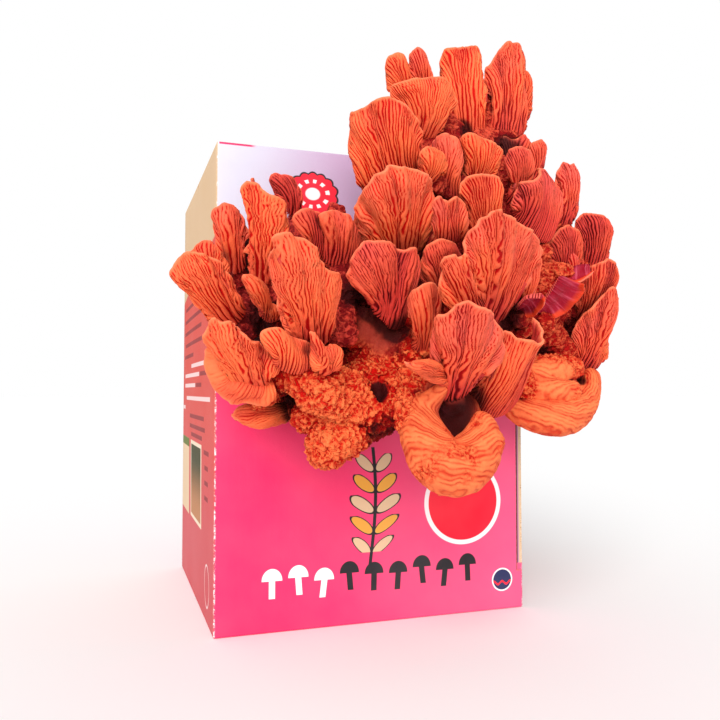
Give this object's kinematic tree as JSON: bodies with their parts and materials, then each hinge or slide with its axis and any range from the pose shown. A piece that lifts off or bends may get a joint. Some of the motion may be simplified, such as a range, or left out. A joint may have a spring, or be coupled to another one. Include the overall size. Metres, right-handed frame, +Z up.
{
  "type": "oyster mushroom grow kit",
  "caption": "Printed cardboard grow carton with a ruffled cluster of pink oyster mushrooms fruiting out of its front panel, standing on its flat base.",
  "frame": {"origin": "centre of the carton's flat base, on the surface it stands on", "axes": "+Z up, +X to the right when facing the front panel, -Y out of the front panel, towards where the mushrooms grow"},
  "size_m": [0.204, 0.2443, 0.266],
  "materials": {
    "carton": "satin",
    "grow_block": "matte",
    "gills": "matte",
    "crumb": "matte",
    "cap_tops": "satin"
  },
  "bodies": {
    "root": {"carton": "carton", "centre_fan": "gills", "centre_left_fan": "gills", "centre_red_fan": "gills", "centre_stub": "gills", "crumb_base": "crumb", "far_right_curl": "gills", "far_right_fan": "gills", "far_right_inner": "gills", "far_right_leaf": "gills", "grow_block": "grow_block", "hanging_lobe": "crumb", "left_back_funnel": "gills", "left_curl": "gills", "left_dark_leaf": "gills", "left_edge_cap": "gills", "left_fold": "gills", "left_funnel": "gills", "left_stalk": "crumb", "left_tall_leaf": "gills", "left_upper_leaf": "gills", "low_left_bud": "gills", "low_left_fan": "gills", "low_left_lip": "gills", "low_right_fan": "gills", "low_right_flap": "gills", "low_right_funnel": "gills", "magenta_cap": "cap_tops", "magenta_small": "cap_tops", "middle_big_fan": "gills", "middle_heart": "gills", "middle_small_fan": "gills", "purple_fan": "gills", "purple_ruffle": "gills", "right_crumb_lobe": "crumb", "right_edge_tall": "gills", "right_funnel": "gills", "right_inner_leaf": "gills", "right_pleat": "gills", "right_point": "gills", "right_shell": "crumb", "right_stalk": "crumb", "ruffled_fan": "gills", "ruffled_fan_low": "gills", "top_back_fan": "gills", "top_finger_left": "gills", "top_finger_right": "gills", "top_left_fan": "gills", "top_sliver": "gills", "top_tall_left": "gills", "top_tall_right": "gills", "upper_bud": "gills", "upper_middle_fan": "gills", "upper_pleat": "gills", "upper_stalk": "crumb"}
  },
  "joints": []
}
